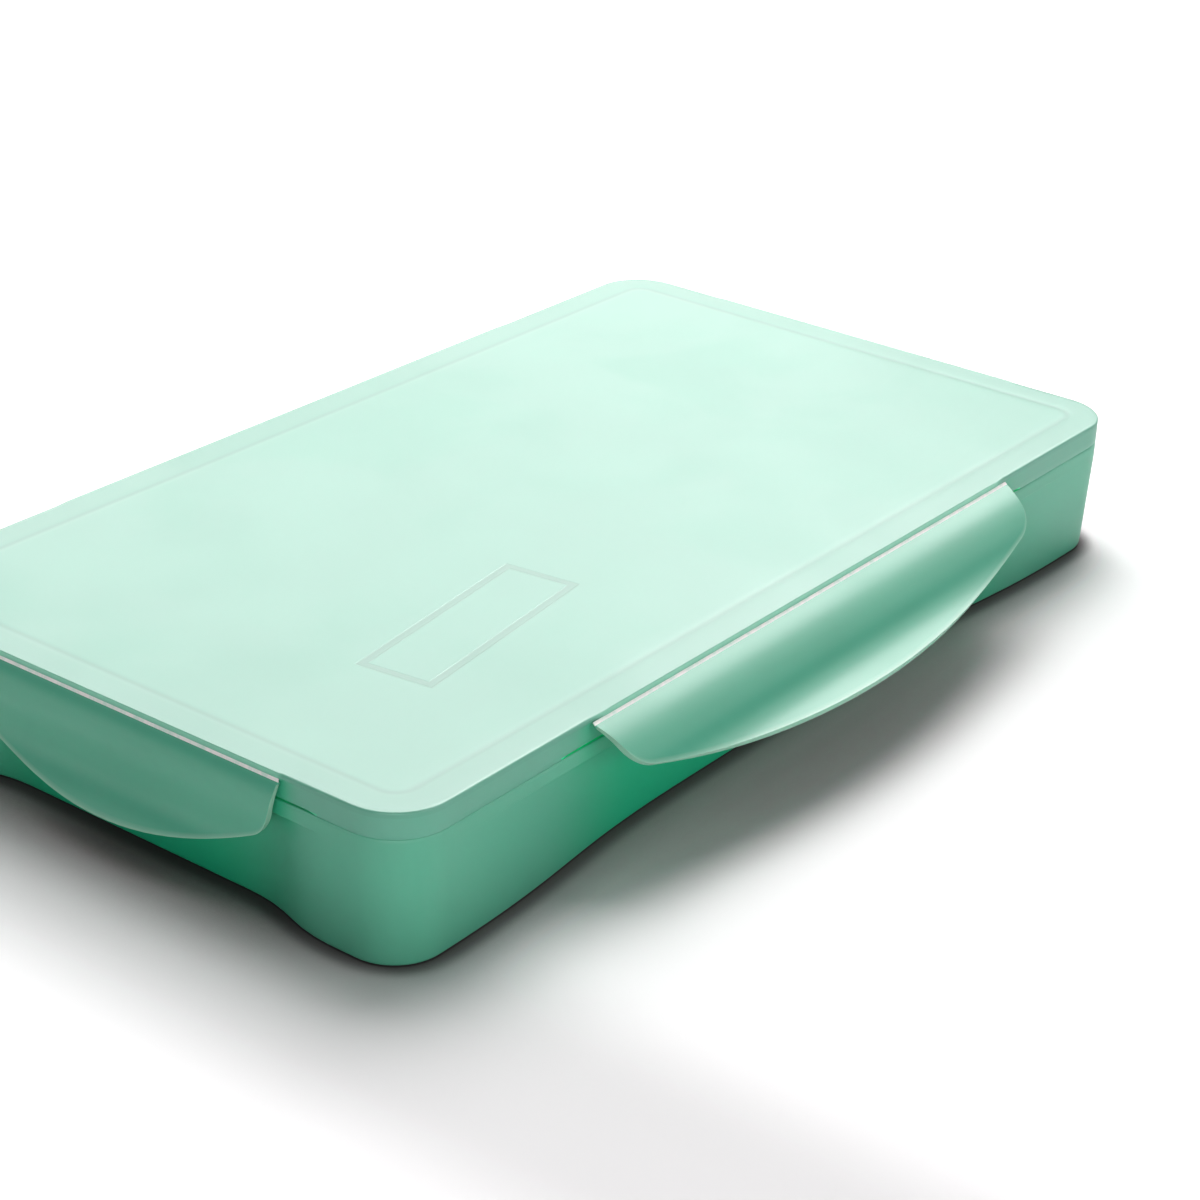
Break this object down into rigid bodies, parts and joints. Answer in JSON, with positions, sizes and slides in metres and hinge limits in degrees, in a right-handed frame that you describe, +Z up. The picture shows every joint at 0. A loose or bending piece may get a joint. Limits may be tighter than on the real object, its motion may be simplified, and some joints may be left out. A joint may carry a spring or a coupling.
{
  "type": "paint set box",
  "caption": "Flat mint plastic gouache paint box: a lid held by curved living-hinge flaps, over a palette, brushes and foil-sealed paint cups.",
  "frame": {"origin": "middle of the flat foot of the case", "axes": "+X along the long side, +Z up, -Y towards the side whose flap stands open"},
  "size_m": [0.31, 0.1946, 0.038],
  "materials": {
    "case_plastic": "satin mint polypropylene",
    "lid_plastic": "satin pale mint polypropylene",
    "hinge_web_plastic": "stress-whitened polypropylene",
    "cup_plastic": "milky translucent polypropylene",
    "seal_foil": "heat-sealed foil",
    "paint_warm": "moist gouache, warm colours",
    "paint_cool": "moist gouache, cool colours",
    "paint_neutral": "moist gouache, earths and neutrals",
    "palette_plastic": "smooth white polystyrene",
    "brush_wood": "lacquered wood",
    "ferrule_metal": "polished, crimped",
    "bristle_fibre": "fine nylon fibre"
  },
  "bodies": {
    "tray": {"case_base": "case_plastic"},
    "lid": {"lid": "lid_plastic", "hinge_web_front": "hinge_web_plastic", "hinge_web_back": "hinge_web_plastic", "hinge_web_left": "hinge_web_plastic", "hinge_web_right": "hinge_web_plastic"},
    "flap_front": {"flap_front": "lid_plastic"},
    "flap_back": {"flap_back": "lid_plastic"},
    "flap_left": {"flap_left": "lid_plastic"},
    "flap_right": {"flap_right": "lid_plastic"},
    "palette": {"palette": "palette_plastic"},
    "brushes": {"brush_1_handle": "brush_wood", "brush_1_ferrule": "ferrule_metal", "brush_1_bristles": "bristle_fibre", "brush_2_handle": "brush_wood", "brush_2_ferrule": "ferrule_metal", "brush_2_bristles": "bristle_fibre", "brush_3_handle": "brush_wood", "brush_3_ferrule": "ferrule_metal", "brush_3_bristles": "bristle_fibre"},
    "paint_cups": {"paint_cup_01": "cup_plastic", "paint_cup_02": "cup_plastic", "paint_cup_03": "cup_plastic", "paint_cup_04": "cup_plastic", "paint_cup_05": "cup_plastic", "paint_cup_06": "cup_plastic", "paint_cup_07": "cup_plastic", "paint_cup_08": "cup_plastic", "paint_cup_09": "cup_plastic", "paint_cup_10": "cup_plastic", "paint_cup_11": "cup_plastic", "paint_cup_12": "cup_plastic", "paint_cup_13": "cup_plastic", "paint_cup_14": "cup_plastic", "paint_cup_15": "cup_plastic", "paint_cup_16": "cup_plastic", "paint_cup_17": "cup_plastic", "paint_cup_18": "cup_plastic", "foil_seal_01": "seal_foil", "foil_seal_02": "seal_foil", "foil_seal_03": "seal_foil", "foil_seal_04": "seal_foil", "foil_seal_05": "seal_foil", "foil_seal_06": "seal_foil", "foil_seal_07": "seal_foil", "foil_seal_08": "seal_foil", "foil_seal_09": "seal_foil", "foil_seal_10": "seal_foil", "foil_seal_11": "seal_foil", "foil_seal_12": "seal_foil", "foil_seal_13": "seal_foil", "foil_seal_14": "seal_foil", "foil_seal_15": "seal_foil", "foil_seal_16": "seal_foil", "foil_seal_17": "seal_foil", "foil_seal_18": "seal_foil", "paint_row_front": "paint_warm", "paint_row_middle": "paint_cool", "paint_row_back": "paint_neutral"}
  },
  "joints": [
    {"name": "lid_lift", "type": "slide", "parent": "tray", "child": "lid", "axis": [0, 0, 1], "range_m": [0, 0.12]},
    {"name": "flap_front_hinge", "type": "hinge", "parent": "lid", "child": "flap_front", "pos_m": [0, -0.08495, 0.0369], "axis": [-1, 0, 0], "range_deg": [-46.5, 91]},
    {"name": "flap_back_hinge", "type": "hinge", "parent": "lid", "child": "flap_back", "pos_m": [0, 0.08495, 0.0369], "axis": [1, 0, 0], "range_deg": [-2.5, 135]},
    {"name": "flap_left_hinge", "type": "hinge", "parent": "lid", "child": "flap_left", "pos_m": [-0.15095, 0, 0.0369], "axis": [0, 1, 0], "range_deg": [-2.5, 135]},
    {"name": "flap_right_hinge", "type": "hinge", "parent": "lid", "child": "flap_right", "pos_m": [0.15095, 0, 0.0369], "axis": [0, -1, 0], "range_deg": [-2.5, 135]},
    {"name": "palette_lift", "type": "slide", "parent": "tray", "child": "palette", "axis": [0, 0, 1], "range_m": [0, 0.072]},
    {"name": "brush_lift", "type": "slide", "parent": "palette", "child": "brushes", "axis": [0, 0, 1], "range_m": [0, 0.012]},
    {"name": "cup_lift", "type": "slide", "parent": "tray", "child": "paint_cups", "axis": [0, 0, 1], "range_m": [0, 0.03]}
  ],
  "couplings": [
    {"joint": "palette_lift", "follows": "lid_lift", "ratio": 0.6},
    {"joint": "brush_lift", "follows": "lid_lift", "ratio": 0.1},
    {"joint": "cup_lift", "follows": "lid_lift", "ratio": 0.25}
  ]
}
